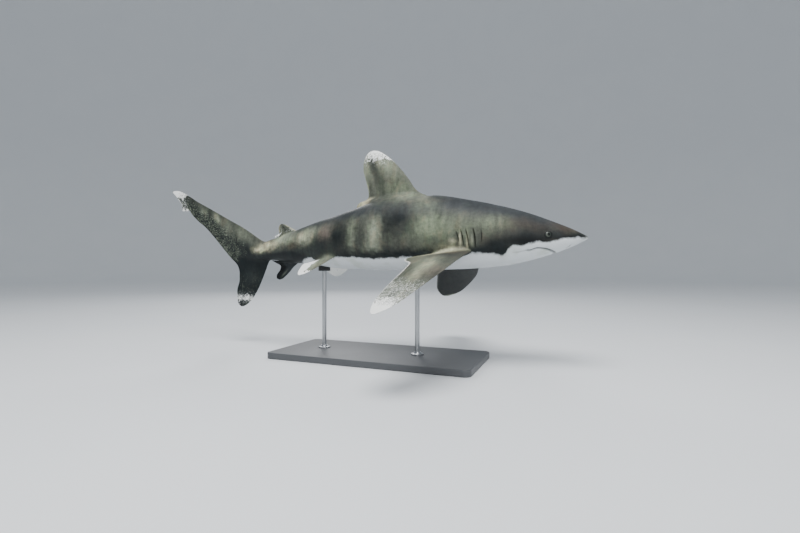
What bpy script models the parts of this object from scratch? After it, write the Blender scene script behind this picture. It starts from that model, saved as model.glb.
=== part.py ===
"""Oceanic whitetip shark, a still life-size model on a plain display stand.

Metres, +Z up. The origin is the centre of the stand's underside, the snout points along +X and the
shark's right side faces -Y. The shark is drawn straight first, in fractions of its total length:
u runs back from the snout's tip, y to the left and z up from the body's axis. bend() then carries
those points onto the curved axis of the swimming animal.
"""

import math

import bmesh
import bpy
import numpy as np

TOTAL_LENGTH = 2.30
AXIS_HEIGHT = 0.560  # of the body's axis at BALANCE, over the floor
BALANCE = 0.410  # how far back the shark is over the middle of the stand
GAP = 0.0003  # between neighbouring solids
RING_POINTS = 28

# How the axis turns on its way back, in degrees: to the left, up, and the body's lean to the right.
TURN_LEFT = ((0.0, 7.0), (0.2, 7.0), (0.4, 1.6), (0.6, -5.1), (0.71, -5.5), (0.8, 4.0), (1.0, 5.0))
TURN_UP = ((0.0, -0.6), (0.2, 0.0), (0.4, 1.5), (0.6, 2.6), (0.72, 2.3), (0.8, 0.0), (1.0, 0.0))
LEAN_RIGHT = ((0.0, -1.5), (0.6, -1.5), (0.8, 5.0), (1.0, 5.0))

# The body's sections: u, half width, back, belly, and the height at which it is widest.
BODY = (
    (0.000, 0.0000, 0.0000, 0.0000, 0.0000),
    (0.010, 0.0190, 0.0072, -0.0066, -0.0008),
    (0.035, 0.0340, 0.0197, -0.0188, -0.0030),
    (0.063, 0.0420, 0.0315, -0.0295, -0.0040),
    (0.110, 0.0522, 0.0495, -0.0435, -0.0020),
    (0.150, 0.0577, 0.0615, -0.0520, 0.0020),
    (0.210, 0.0625, 0.0758, -0.0575, 0.0070),
    (0.300, 0.0645, 0.0915, -0.0598, 0.0120),
    (0.370, 0.0625, 0.0925, -0.0593, 0.0130),
    (0.430, 0.0575, 0.0830, -0.0570, 0.0110),
    (0.500, 0.0490, 0.0645, -0.0522, 0.0060),
    (0.560, 0.0400, 0.0535, -0.0440, 0.0040),
    (0.630, 0.0285, 0.0385, -0.0335, 0.0025),
    (0.690, 0.0188, 0.0262, -0.0248, 0.0010),
    (0.735, 0.0145, 0.0205, -0.0215, 0.0000),
    (0.770, 0.0098, 0.0385, -0.0165, 0.0125),
    (0.810, 0.0060, 0.0610, 0.0040, 0.0380),
    (0.850, 0.0037, 0.0830, 0.0310, 0.0620),
    (0.890, 0.0017, 0.1030, 0.0640, 0.0880),
)
HEAD_END = 0.205
TRUNK_END = 0.525
TAIL_END = 0.722
BELLY_FLATNESS = 2.35  # exponent of the lower half of a section; 2 is an ellipse

# A fin's outline: pairs of points that face each other across it, front x and y, rear x and y.
FIRST_DORSAL = (
    (0.320, 0.0700, 0.4200, 0.0620),
    (0.303, 0.0895, 0.4360, 0.0770),
    (0.313, 0.0955, 0.4600, 0.0775),
    (0.322, 0.1015, 0.4540, 0.0865),
    (0.331, 0.1110, 0.4365, 0.0925),
    (0.341, 0.1273, 0.4315, 0.1030),
    (0.359, 0.1513, 0.4365, 0.1290),
    (0.378, 0.1722, 0.4430, 0.1580),
    (0.395, 0.1862, 0.4405, 0.1780),
    (0.408, 0.1940, 0.4310, 0.1925),
    (0.418, 0.1965, 0.4200, 0.1965),
)
SECOND_DORSAL = (
    (0.628, 0.0260, 0.6550, 0.0220),
    (0.617, 0.0385, 0.6600, 0.0300),
    (0.624, 0.0418, 0.6900, 0.0280),
    (0.632, 0.0450, 0.6850, 0.0325),
    (0.640, 0.0495, 0.6735, 0.0385),
    (0.650, 0.0548, 0.6745, 0.0480),
    (0.658, 0.0585, 0.6715, 0.0560),
    (0.665, 0.0597, 0.6665, 0.0597),
)
ANAL = (
    (0.625, -0.0200, 0.6550, -0.0160),
    (0.616, -0.0340, 0.6650, -0.0265),
    (0.623, -0.0375, 0.7000, -0.0245),
    (0.630, -0.0415, 0.6900, -0.0300),
    (0.637, -0.0470, 0.6730, -0.0390),
    (0.645, -0.0540, 0.6755, -0.0480),
    (0.656, -0.0620, 0.6865, -0.0590),
    (0.667, -0.0685, 0.6875, -0.0670),
    (0.677, -0.0712, 0.6790, -0.0712),
)
UPPER_CAUDAL = (
    (0.7100, 0.0205, 0.7100, -0.0205),
    (0.7300, 0.0260, 0.7350, -0.0245),
    (0.7650, 0.0478, 0.7780, -0.0300),
    (0.7920, 0.0632, 0.8115, -0.0290),
    (0.8200, 0.0772, 0.8370, -0.0030),
    (0.8540, 0.0953, 0.8690, 0.0342),
    (0.8870, 0.1127, 0.8950, 0.0615),
    (0.9150, 0.1272, 0.9180, 0.0805),
    (0.9310, 0.1373, 0.9350, 0.0980),
    (0.9400, 0.1425, 0.9410, 0.1050),
    (0.9510, 0.1483, 0.9605, 0.1045),
    (0.9610, 0.1530, 0.9640, 0.1220),
    (0.9720, 0.1562, 0.9785, 0.1420),
    (0.9850, 0.1565, 0.9885, 0.1535),
)
LOWER_CAUDAL = (
    (0.7200, 0.0100, 0.8300, 0.0400),
    (0.7050, -0.0190, 0.8220, -0.0080),
    (0.7165, -0.0380, 0.8050, -0.0420),
    (0.7320, -0.0640, 0.8040, -0.0690),
    (0.7505, -0.0930, 0.8120, -0.0940),
    (0.7700, -0.1185, 0.8130, -0.1180),
    (0.7850, -0.1310, 0.8100, -0.1310),
    (0.7980, -0.1368, 0.8030, -0.1370),
)
PECTORAL = (
    (0.006, -0.035, 0.0650, -0.035),
    (0.000, 0.000, 0.0720, 0.000),
    (0.001, 0.021, 0.1160, 0.021),
    (0.003, 0.035, 0.1195, 0.036),
    (0.006, 0.058, 0.1065, 0.058),
    (0.012, 0.089, 0.1105, 0.094),
    (0.019, 0.120, 0.1200, 0.131),
    (0.030, 0.157, 0.1298, 0.167),
    (0.047, 0.190, 0.1350, 0.195),
    (0.066, 0.217, 0.1338, 0.217),
    (0.083, 0.2345, 0.1280, 0.2340),
    (0.099, 0.2415, 0.1180, 0.2415),
)
PELVIC = (
    (0.006, -0.018, 0.0520, -0.018),
    (0.000, 0.000, 0.0590, 0.000),
    (0.006, 0.008, 0.0650, 0.0120),
    (0.013, 0.016, 0.0865, 0.0165),
    (0.023, 0.027, 0.0860, 0.029),
    (0.035, 0.039, 0.0830, 0.041),
    (0.047, 0.0485, 0.0785, 0.051),
    (0.059, 0.0555, 0.0715, 0.0572),
)

# Where a paired fin grows, and its angles in degrees: down from level, back, and its rear edge up.
# Towards its tip it droops, as a fraction of the total length, and twists about the line x = about.
PECTORAL_PLACE = {"u": 0.2095, "y": 0.0540, "z": -0.0265, "droop": 0.0155, "twist": 22.6, "about": 0.067}
PECTORAL_LEFT = {"down": 17.0, "back": -6.0, "pitch": 6.0, **PECTORAL_PLACE}
PECTORAL_RIGHT = {"down": 15.0, "back": -1.5, "pitch": -3.0, **PECTORAL_PLACE}
PELVIC_PLACE = {"u": 0.486, "y": 0.0370, "z": -0.0250, "droop": 0.0, "twist": 0.0, "about": 0.0}
PELVIC_BOTH = {"down": 39.0, "back": 4.0, "pitch": -8.0, **PELVIC_PLACE}

FIN_EDGE = 0.0016  # thickness of the rear edges
FIN_THICKNESS = {
    "first_dorsal": 0.0100,
    "second_dorsal": 0.0050,
    "anal": 0.0050,
    "pectoral": 0.0095,
    "pelvic": 0.0060,
    "upper_caudal": 0.0085,
    "lower_caudal": 0.0075,
}
LOBE_PARTING = ((0.690, -0.0180), (1.020, -0.0505))  # the line between the caudal fin's lobes
CAUDAL_ROOT_RINGS = 110  # rings of the body inside the caudal fin, per unit of the root of u

EYE_PLACE = (0.0755, 0.0353, 0.0015)  # of its middle
EYE_RADIUS = 0.0105
MOUTH_FRONT = (0.063, -0.0275)  # u and z of the mouth's slit, at the front and at its corners
MOUTH_CORNER = (0.112, -0.0238)
MOUTH_OPENING = 0.0012
JAW_BACK = 0.124
CUTTER_REACH = 0.09  # of the jaw's cutters, past the head on every side

BASE_SIZE = (1.00, 0.44, 0.030)
BASE_CORNER = 0.030  # radius of its upright corners
BASE_ROUNDING = 0.004
ROD_PLACES = {"front": 0.325, "rear": 0.545}
ROD_RADIUS = 0.011
COLLAR_RADIUS = 0.030
COLLAR_HEIGHT = 0.014
PAD_RADIUS = 0.030
PAD_DEPTH = 0.022
PAD_RISE = 0.030  # of the uncut pad, up into the body

# Colour, roughness and metallic value of each material.
FINISHES = {
    "flesh": ((0.200, 0.205, 0.165), 0.55, 0.0),
    "eye": ((0.030, 0.035, 0.035), 0.15, 0.0),
    "base": ((0.060, 0.062, 0.066), 0.50, 0.0),
    "steel": ((0.560, 0.570, 0.580), 0.30, 1.0),
    "pad": ((0.020, 0.020, 0.020), 0.80, 0.0),
}


def smooth(at, places, values):
    """A smooth curve through the values, as cubic Hermite pieces with mean slopes at the places."""
    at, places, values = (np.asarray(a, float) for a in (at, places, values))
    step, rise = np.diff(places), np.diff(values)
    slope = rise / step
    inner = (slope[:-1] * step[1:] + slope[1:] * step[:-1]) / (step[:-1] + step[1:])
    inner = np.where(slope[:-1] * slope[1:] > 0, inner, inner * 0.3)
    tangent = np.concatenate([slope[:1], inner, slope[-1:]])
    i = np.clip(np.searchsorted(places, at, side="right") - 1, 0, len(step) - 1)
    t = np.clip((at - places[i]) / step[i], 0, 1)
    return (
        values[i] * (1 + 2 * t) * (1 - t) ** 2
        + values[i + 1] * t**2 * (3 - 2 * t)
        + step[i] * (tangent[i] * t * (1 - t) ** 2 - tangent[i + 1] * t**2 * (1 - t))
    )


def column(table, number):
    return [row[number] for row in table]


def axis_frames():
    """u, the axis, and the forward, left and up directions along it, in metres."""
    u = np.linspace(0, 1, 1001)
    left, up, lean = (
        np.radians(smooth(u, column(t, 0), column(t, 1))) for t in (TURN_LEFT, TURN_UP, LEAN_RIGHT)
    )
    forward = np.stack([np.cos(left) * np.cos(up), np.sin(left) * np.cos(up), np.sin(up)], 1)
    level = np.stack([-np.sin(left), np.cos(left), 0 * u], 1)
    above = np.cross(forward, level)
    sideways = level * np.cos(lean)[:, None] + above * np.sin(lean)[:, None]
    above = np.cross(forward, sideways)
    mean = (forward[1:] + forward[:-1]) / 2 * (u[1] - u[0]) * TOTAL_LENGTH
    axis = -np.concatenate([np.zeros((1, 3)), np.cumsum(mean, 0)])
    middle = [np.interp(BALANCE, u, a) for a in axis.T]
    return u, axis - middle + [0, 0, AXIS_HEIGHT], forward, sideways, above


AXIS = axis_frames()


def bend(points):
    """Carries points of the straight shark, in fractions of its length, to their place in metres."""
    points = np.asarray(points, float)
    u, *tracks = AXIS
    place, _, left, up = (
        np.stack([np.interp(points[..., 0], u, a) for a in t.T], -1) for t in tracks
    )
    return place + TOTAL_LENGTH * (points[..., 1:2] * left + points[..., 2:3] * up)


def frame_at(u, y, z):
    """A place on the bent shark, and its forward, left and up directions there."""
    ways = (np.array([np.interp(u, AXIS[0], a) for a in track.T]) for track in AXIS[2:])
    return bend([u, y, z]), *ways


def body_ring(u, grow=0.0):
    """One section of the body, from the back round its left side: rounded above, flatter below."""
    places = np.sqrt(column(BODY, 0))
    width, back, belly, widest = (
        float(smooth(math.sqrt(u), places, column(BODY, i))) for i in (1, 2, 3, 4)
    )
    grow = grow / TOTAL_LENGTH
    width, back, belly = width + grow, back + grow, belly - grow
    angle = np.arange(RING_POINTS) * 2 * math.pi / RING_POINTS
    up, side = np.cos(angle), np.sin(angle)
    power = np.where(up > 0, 1.0, 2 / BELLY_FLATNESS)
    y = width * np.sign(side) * np.abs(side) ** power
    z = widest + np.where(up > 0, back - widest, widest - belly) * np.sign(up) * np.abs(up) ** power
    return np.stack([np.full(RING_POINTS, u), y, z], 1)


def body_stops(start, end, density):
    """Where the rings lie, close together at the snout."""
    count = round((math.sqrt(end) - math.sqrt(start)) * density)
    return np.linspace(math.sqrt(start), math.sqrt(end), count + 1) ** 2


def new_object(name, mesh, finish, group):
    obj = bpy.data.objects.new(name, mesh)
    group.objects.link(obj)
    if finish:
        mesh.materials.append(material_named(finish))
        mesh.shade_smooth()
        mesh.set_sharp_from_angle(angle=math.radians(40))
    else:
        obj.hide_render = True
        obj.display_type = "WIRE"
    return obj


def material_named(finish):
    if finish in bpy.data.materials:
        return bpy.data.materials[finish]
    colour, roughness, metallic = FINISHES[finish]
    material = bpy.data.materials.new(finish)
    material.use_nodes = True
    shader = material.node_tree.nodes["Principled BSDF"]
    shader.inputs["Base Color"].default_value = (*colour, 1)
    shader.inputs["Roughness"].default_value = roughness
    shader.inputs["Metallic"].default_value = metallic
    return material


def loft(name, rings, finish, group):
    """A closed solid over rings of points, whose ends are capped. A ring of one point is a tip."""
    work = bmesh.new()
    rings = [[work.verts.new(p) for p in ring] for ring in rings]
    for near, far in zip(rings, rings[1:]):
        count = max(len(near), len(far))
        for i in range(count):
            corners = [near[i % len(near)], near[(i + 1) % count % len(near)]]
            corners += [far[(i + 1) % count % len(far)], far[i % len(far)]]
            work.faces.new(list(dict.fromkeys(corners)))
    for ring in (rings[0], rings[-1]):
        if len(ring) > 1:
            work.faces.new(ring)
    bmesh.ops.recalc_face_normals(work, faces=work.faces)
    mesh = bpy.data.meshes.new(name)
    work.to_mesh(mesh)
    work.free()
    return new_object(name, mesh, finish, group)


def body_length(name, start, end, finish, group, grow=0.0, density=50):
    """A length of the body between two places on its axis."""
    stops = body_stops(start, end, density)
    rings = [bend(body_ring(u, grow)) for u in stops if u > 0]
    if start == 0:
        tip = [[-grow / TOTAL_LENGTH, 0, 0]]
        rings.insert(0, bend(tip) + AXIS[2][0] * grow)
    return loft(name, rings, finish, group)


def fin_section(points):
    """A fin's section: how far back on the chord, and half the thickness as a share of the most."""
    along = (1 - np.cos(np.linspace(0, math.pi, points // 2 + 1))) / 2
    thick = np.sqrt(along) * (1 - along) * (1 - 0.35 * along)
    return along, thick / thick.max()


def fin_rings(outline, thickest, steps=2, points=12):
    """Rings of (x, y, side) round a fin, from its root to its tip, in the outline's own plane."""
    index = np.arange(len(outline))
    at = np.linspace(0, index[-1], index[-1] * steps + 1)
    lead_x, lead_y, rear_x, rear_y = (smooth(at, index, column(outline, i)) for i in range(4))
    along, thick = fin_section(points)
    rings = []
    for k, share in enumerate(at / index[-1]):
        chord = math.hypot(rear_x[k] - lead_x[k], rear_y[k] - lead_y[k])
        most = min(thickest * (1 - share) ** 0.8, chord * 0.3)
        half = most * thick / 2 + FIN_EDGE / TOTAL_LENGTH * along / 2
        x = lead_x[k] + along * (rear_x[k] - lead_x[k])
        y = lead_y[k] + along * (rear_y[k] - lead_y[k])
        rings.append(np.concatenate([np.stack([x, y, half], 1), np.stack([x, y, -half], 1)[:0:-1]]))
    return rings


def median_fin(name, outline, thickest, finish, group, steps=2):
    """A fin on the body's own middle plane."""
    rings = [bend(ring[:, [0, 2, 1]]) for ring in fin_rings(outline, thickest, steps)]
    return loft(name, rings, finish, group)


def paired_fin(name, outline, thickest, place, side, finish, group):
    """A fin that stands out from the body's left side (1) or its right side (-1)."""
    root, forward, left, up = frame_at(place["u"], side * place["y"], place["z"])
    down, back, pitch, twist = (math.radians(place[k]) for k in ("down", "back", "pitch", "twist"))
    about = place["about"]
    outwards = math.cos(back) * side * left - math.sin(back) * forward
    span = math.cos(down) * outwards - math.sin(down) * up
    chord = -forward + span * (forward @ span)
    chord /= np.linalg.norm(chord)
    normal = np.cross(span, chord) * side
    chord = chord * math.cos(pitch) + normal * math.sin(pitch)
    frame = TOTAL_LENGTH * np.stack([chord, span, np.cross(span, chord) * side])
    rings = fin_rings(outline, thickest)
    for ring in rings:
        out = np.maximum(ring[:, 1] / outline[-1][1], 0)
        ring[:, 2] -= place["droop"] * out**2 + np.sin(twist * out) * (ring[:, 0] - about)
    return loft(name, [root + ring @ frame for ring in rings], finish, group)


def block(name, corners, half_width, group):
    """A cutter: a flat outline in u and z, across the middle plane, drawn straight from its middle."""
    u, z = np.mean(corners, 0)
    place, forward, left, up = frame_at(u, 0, z)
    flat = [place - TOTAL_LENGTH * ((a - u) * forward + (z - b) * up) for a, b in corners]
    sides = [[p + TOTAL_LENGTH * y * left for p in flat] for y in (-half_width, half_width)]
    return loft(name, sides, None, group)


def combine(obj, operation, other):
    modifier = obj.modifiers.new(f"{operation.lower()} {other.name}", "BOOLEAN")
    modifier.operation = operation
    modifier.object = other
    modifier.solver = "EXACT"


def ball(name, centre, radius, finish, group, rings=8):
    work = bmesh.new()
    bmesh.ops.create_uvsphere(work, u_segments=2 * rings, v_segments=rings, radius=radius)
    mesh = bpy.data.meshes.new(name)
    work.to_mesh(mesh)
    work.free()
    obj = new_object(name, mesh, finish, group)
    obj.location = centre
    return obj


def rod(name, radius, bottom, top, place, finish, group, sides=32):
    work = bmesh.new()
    bmesh.ops.create_cone(
        work, cap_ends=True, segments=sides, radius1=radius, radius2=radius, depth=top - bottom
    )
    mesh = bpy.data.meshes.new(name)
    work.to_mesh(mesh)
    work.free()
    obj = new_object(name, mesh, finish, group)
    obj.location = (place[0], place[1], (bottom + top) / 2)
    return obj


def collar(name, place, group):
    """A turned ring round a rod's foot."""
    inner, outer, top = ROD_RADIUS + GAP, COLLAR_RADIUS, COLLAR_HEIGHT
    neck, shoulder = inner + 0.005, top * 0.45
    profile = ((inner, top), (neck, top), (neck + 0.002, shoulder + 0.002), (outer - 0.001, shoulder))
    profile += ((outer, shoulder - 0.001), (outer, 0.0), (inner, 0.0))
    mesh = bpy.data.meshes.new(name)
    edges = [(i, (i + 1) % len(profile)) for i in range(len(profile))]
    mesh.from_pydata([(x, 0, z) for x, z in profile], edges, [])
    obj = new_object(name, mesh, "steel", group)
    obj.location = (place[0], place[1], BASE_SIZE[2] + GAP)
    turn = obj.modifiers.new("turn", "SCREW")
    turn.steps = turn.render_steps = 24
    turn.use_merge_vertices = True
    turn.merge_threshold = 1e-5
    return obj


def make_base(group):
    work = bmesh.new()
    bmesh.ops.create_cube(work, size=1)
    bmesh.ops.scale(work, vec=BASE_SIZE, verts=work.verts)
    upright = [e for e in work.edges if abs(e.verts[0].co.z - e.verts[1].co.z) > BASE_SIZE[2] / 2]
    bmesh.ops.bevel(work, geom=upright, offset=BASE_CORNER, segments=6, affect="EDGES", profile=0.5)
    mesh = bpy.data.meshes.new("stand_base")
    work.to_mesh(mesh)
    work.free()
    obj = new_object("stand_base", mesh, "base", group)
    obj.location = (0, 0, BASE_SIZE[2] / 2)
    edge = obj.modifiers.new("edge", "BEVEL")
    edge.width = BASE_ROUNDING
    edge.segments = 2
    edge.limit_method = "ANGLE"
    edge.angle_limit = math.radians(60)
    return obj


def make_head(group, cutters):
    """The head, its lower jaw, parted from it at the mouth, and the eyes in their sockets."""
    (front, low), (corner, high) = MOUTH_FRONT, MOUTH_CORNER
    slope, apart = (high - low) / (corner - front), GAP / TOTAL_LENGTH
    roof = [(u, low + slope * (u - front)) for u in (front - CUTTER_REACH, JAW_BACK)]
    floor = [(u, -CUTTER_REACH) for u in (JAW_BACK, front - CUTTER_REACH)]
    around = block("around_jaw", roof + floor, CUTTER_REACH, cutters)
    within = block("within_jaw", roof + floor, CUTTER_REACH, cutters)
    within.location = TOTAL_LENGTH * (apart * frame_at(corner, 0, 0)[1] + [0, 0, -MOUTH_OPENING])
    head = body_length("head", 0, HEAD_END, "flesh", group)
    combine(head, "DIFFERENCE", around)
    jaw = body_length("lower_jaw", 0, HEAD_END, "flesh", group)
    combine(jaw, "INTERSECT", within)
    for side, name in ((1, "left"), (-1, "right")):
        u, y, z = EYE_PLACE
        centre, radius = bend([u, side * y, z]), EYE_RADIUS * TOTAL_LENGTH
        combine(head, "DIFFERENCE", ball(f"socket_{name}", centre, radius + GAP, None, cutters))
        ball(f"eye_{name}", centre, radius, "eye", group)


def make_caudal(group, cutters, body):
    """The caudal fin, made whole and parted between its lobes by a thin cut."""
    (ahead, high), (behind, low) = LOBE_PARTING
    cuts = {}
    for name, far in (("upper", -2 * CUTTER_REACH), ("lower", 3 * CUTTER_REACH)):
        corners = [(ahead, high), (behind, low), (behind, low + far), (ahead, high + far)]
        cuts[name] = block(f"parts_{name}_lobe", corners, CUTTER_REACH, cutters)
    cuts["lower"].location.z -= GAP
    start, end = TAIL_END - 0.004, BODY[-1][0]
    root = body_length("caudal_root", start, end, None, cutters, density=CAUDAL_ROOT_RINGS)
    upper = median_fin("upper_lobe", UPPER_CAUDAL, FIN_THICKNESS["upper_caudal"], None, cutters)
    for name, cut in cuts.items():
        thickest = FIN_THICKNESS["lower_caudal"]
        lobe = median_fin(f"caudal_fin_{name}", LOWER_CAUDAL, thickest, "flesh", group)
        steps = (("UNION", upper), ("UNION", root), ("DIFFERENCE", body), ("DIFFERENCE", cut))
        for operation, other in steps:
            combine(lobe, operation, other)


def make_stand(group, cutters, body):
    make_base(group)
    for name, u in ROD_PLACES.items():
        belly = bend([u, 0, body_ring(u)[:, 2].min()])
        top = belly[2] - PAD_DEPTH
        pad = rod(f"stand_pad_{name}", PAD_RADIUS, top, belly[2] + PAD_RISE, belly, "pad", group)
        combine(pad, "DIFFERENCE", body)
        rod(f"stand_rod_{name}", ROD_RADIUS, BASE_SIZE[2] + GAP, top - GAP, belly, "steel", group)
        collar(f"stand_collar_{name}", belly, group)


def new_group(name):
    group = bpy.data.collections.new(name)
    bpy.context.scene.collection.children.link(group)
    return group


def main():
    for old in list(bpy.data.objects):
        bpy.data.objects.remove(old)
    shark, stand, cutters = (new_group(name) for name in ("shark", "stand", "cutters"))
    body = body_length("body_with_gap", 0, TAIL_END + GAP / TOTAL_LENGTH, None, cutters, GAP)
    make_head(shark, cutters)
    apart = GAP / TOTAL_LENGTH
    body_length("trunk", HEAD_END + apart, TRUNK_END, "flesh", shark)
    body_length("tail", TRUNK_END + apart, TAIL_END, "flesh", shark)
    fins = [
        median_fin(f"{name}_fin", outline, FIN_THICKNESS[name], "flesh", shark, steps)
        for name, outline, steps in (
            ("first_dorsal", FIRST_DORSAL, 2),
            ("second_dorsal", SECOND_DORSAL, 1),
            ("anal", ANAL, 1),
        )
    ]
    for side, name, pectoral in ((1, "left", PECTORAL_LEFT), (-1, "right", PECTORAL_RIGHT)):
        for kind, outline, place in (("pectoral", PECTORAL, pectoral), ("pelvic", PELVIC, PELVIC_BOTH)):
            full_name, thickest = f"{kind}_fin_{name}", FIN_THICKNESS[kind]
            fins.append(paired_fin(full_name, outline, thickest, place, side, "flesh", shark))
    for fin in fins:
        combine(fin, "DIFFERENCE", body)
    make_caudal(shark, cutters, body)
    make_stand(stand, cutters, body)


main()
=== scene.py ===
import math

import bpy
import numpy as np
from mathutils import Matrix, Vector


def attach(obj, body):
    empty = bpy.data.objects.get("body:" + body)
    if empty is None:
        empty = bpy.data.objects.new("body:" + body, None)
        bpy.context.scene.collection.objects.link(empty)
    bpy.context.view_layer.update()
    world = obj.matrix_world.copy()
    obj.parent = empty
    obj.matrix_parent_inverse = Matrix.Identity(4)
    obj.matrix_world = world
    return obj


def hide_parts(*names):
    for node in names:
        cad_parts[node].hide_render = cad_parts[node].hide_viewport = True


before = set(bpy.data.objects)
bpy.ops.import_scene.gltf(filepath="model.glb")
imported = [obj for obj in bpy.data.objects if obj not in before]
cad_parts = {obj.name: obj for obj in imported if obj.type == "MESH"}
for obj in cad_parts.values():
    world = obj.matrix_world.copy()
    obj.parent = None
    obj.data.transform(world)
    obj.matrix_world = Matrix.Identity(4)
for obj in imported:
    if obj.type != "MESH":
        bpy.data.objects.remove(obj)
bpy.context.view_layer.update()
print("frame loaded")


# The body's driving dimensions are the frame's own.

shark = {
    "length": 2.3,
    "axisHeight": 0.56,
    "balance": 0.41,  # how far back the shark is over the middle of the stand
    "bellyFlatness": 2.35,
    # how the axis turns on its way back: u and degrees
    "turnLeft": [(0.0, 7.0), (0.2, 7.0), (0.4, 1.6), (0.6, -5.1), (0.71, -5.5), (0.8, 4.0), (1.0, 5.0)],
    "turnUp": [(0.0, -0.6), (0.2, 0.0), (0.4, 1.5), (0.6, 2.6), (0.72, 2.3), (0.8, 0.0), (1.0, 0.0)],
    "leanRight": [(0.0, -1.5), (0.6, -1.5), (0.8, 5.0), (1.0, 5.0)],
}
size = shark["length"]
bothSides = (1, -1)  # left and right


# Tables of lengths are written in thousandths, to be read as shares of the shark's length.
def perMille(rows):
    return np.array(rows, float) / 1000


# u, half width, back, belly, height of the widest place
bodyTable = perMille([
    (0, 0, 0, 0, 0), (10, 19, 7.2, -6.6, -0.8), (35, 34, 19.7, -18.8, -3), (63, 42, 31.5, -29.5, -4),
    (110, 52.2, 49.5, -43.5, -2), (150, 57.7, 61.5, -52, 2), (210, 62.5, 75.8, -57.5, 7),
    (300, 64.5, 91.5, -59.8, 12), (370, 62.5, 92.5, -59.3, 13), (430, 57.5, 83, -57, 11),
    (500, 49, 64.5, -52.2, 6), (560, 40, 53.5, -44, 4), (630, 28.5, 38.5, -33.5, 2.5),
    (690, 18.8, 26.2, -24.8, 1), (735, 14.5, 20.5, -21.5, 0), (770, 9.8, 38.5, -16.5, 12.5),
    (810, 6, 61, 4, 38), (850, 3.7, 83, 31, 62), (890, 1.7, 103, 64, 88),
])
bodyEnd = bodyTable[-1, 0]

# Each fin's outline: pairs of points that face each other across it, front x and y, rear x and y.
outlines = {
    "firstDorsal": [
        (320, 70, 420, 62), (303, 89.5, 436, 77), (313, 95.5, 460, 77.5), (322, 101.5, 454, 86.5),
        (331, 111, 436.5, 92.5), (341, 127.3, 431.5, 103), (359, 151.3, 436.5, 129),
        (378, 172.2, 443, 158), (395, 186.2, 440.5, 178), (408, 194, 431, 192.5),
        (418, 196.5, 420, 196.5),
    ],
    "secondDorsal": [
        (628, 26, 655, 22), (617, 38.5, 660, 30), (624, 41.8, 690, 28), (632, 45, 685, 32.5),
        (640, 49.5, 673.5, 38.5), (650, 54.8, 674.5, 48), (658, 58.5, 671.5, 56),
        (665, 59.7, 666.5, 59.7),
    ],
    "anal": [
        (625, -20, 655, -16), (616, -34, 665, -26.5), (623, -37.5, 700, -24.5), (630, -41.5, 690, -30),
        (637, -47, 673, -39), (645, -54, 675.5, -48), (656, -62, 686.5, -59), (667, -68.5, 687.5, -67),
        (677, -71.2, 679, -71.2),
    ],
    "upperCaudal": [
        (710, 20.5, 710, -20.5), (730, 26, 735, -24.5), (765, 47.8, 778, -30), (792, 63.2, 811.5, -29),
        (820, 77.2, 837, -3), (854, 95.3, 869, 34.2), (887, 112.7, 895, 61.5), (915, 127.2, 918, 80.5),
        (931, 137.3, 935, 98), (940, 142.5, 941, 105), (951, 148.3, 960.5, 104.5), (961, 153, 964, 122),
        (972, 156.2, 978.5, 142), (985, 156.5, 988.5, 153.5),
    ],
    "lowerCaudal": [
        (720, 10, 830, 40), (705, -19, 822, -8), (716.5, -38, 805, -42), (732, -64, 804, -69),
        (750.5, -93, 812, -94), (770, -118.5, 813, -118), (785, -131, 810, -131),
        (798, -136.8, 803, -137),
    ],
    "pectoral": [
        (6, -35, 65, -35), (0, 0, 72, 0), (1, 21, 116, 21), (3, 35, 119.5, 36), (6, 58, 106.5, 58),
        (12, 89, 110.5, 94), (19, 120, 120, 131), (30, 157, 129.8, 167), (47, 190, 135, 195),
        (66, 217, 133.8, 217), (83, 234.5, 128, 234), (99, 241.5, 118, 241.5),
    ],
    "pelvic": [
        (6, -18, 52, -18), (0, 0, 59, 0), (6, 8, 65, 12), (13, 16, 86.5, 16.5), (23, 27, 86, 29),
        (35, 39, 83, 41), (47, 48.5, 78.5, 51), (59, 55.5, 71.5, 57.2),
    ],
}


# A smooth curve through the values: cubic Hermite pieces, with mean slopes at the places.
def smoothCurve(at, places, values):
    at, places, values = (np.asarray(a, float) for a in (at, places, values))
    step, rise = np.diff(places), np.diff(values)
    slope = rise / step
    inner = (slope[:-1] * step[1:] + slope[1:] * step[:-1]) / (step[:-1] + step[1:])
    inner = np.where(slope[:-1] * slope[1:] > 0, inner, inner * 0.3)
    tangent = np.concatenate([slope[:1], inner, slope[-1:]])
    i = np.clip(np.searchsorted(places, at, side="right") - 1, 0, len(step) - 1)
    t = np.clip((at - places[i]) / step[i], 0, 1)
    return (
        values[i] * (1 + 2 * t) * (1 - t) ** 2
        + values[i + 1] * t**2 * (3 - 2 * t)
        + step[i] * (tangent[i] * t * (1 - t) ** 2 - tangent[i + 1] * t**2 * (1 - t))
    )


# 0 at low, 1 at high, easing at both ends between them; with high first it falls from 1 to 0.
def ease(x, low, high):
    t = np.clip((x - low) / (high - low), 0, 1)
    return t * t * (3 - 2 * t)


# 1 at the middle, falling off on both sides as exp(-(distance / reach) ** 2).
def bell(x, middle, reach):
    return np.exp(-(((x - middle) / reach) ** 2))


def unit(vectors):
    return vectors / np.maximum(np.linalg.norm(vectors, axis=-1, keepdims=True), 1e-12)


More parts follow.
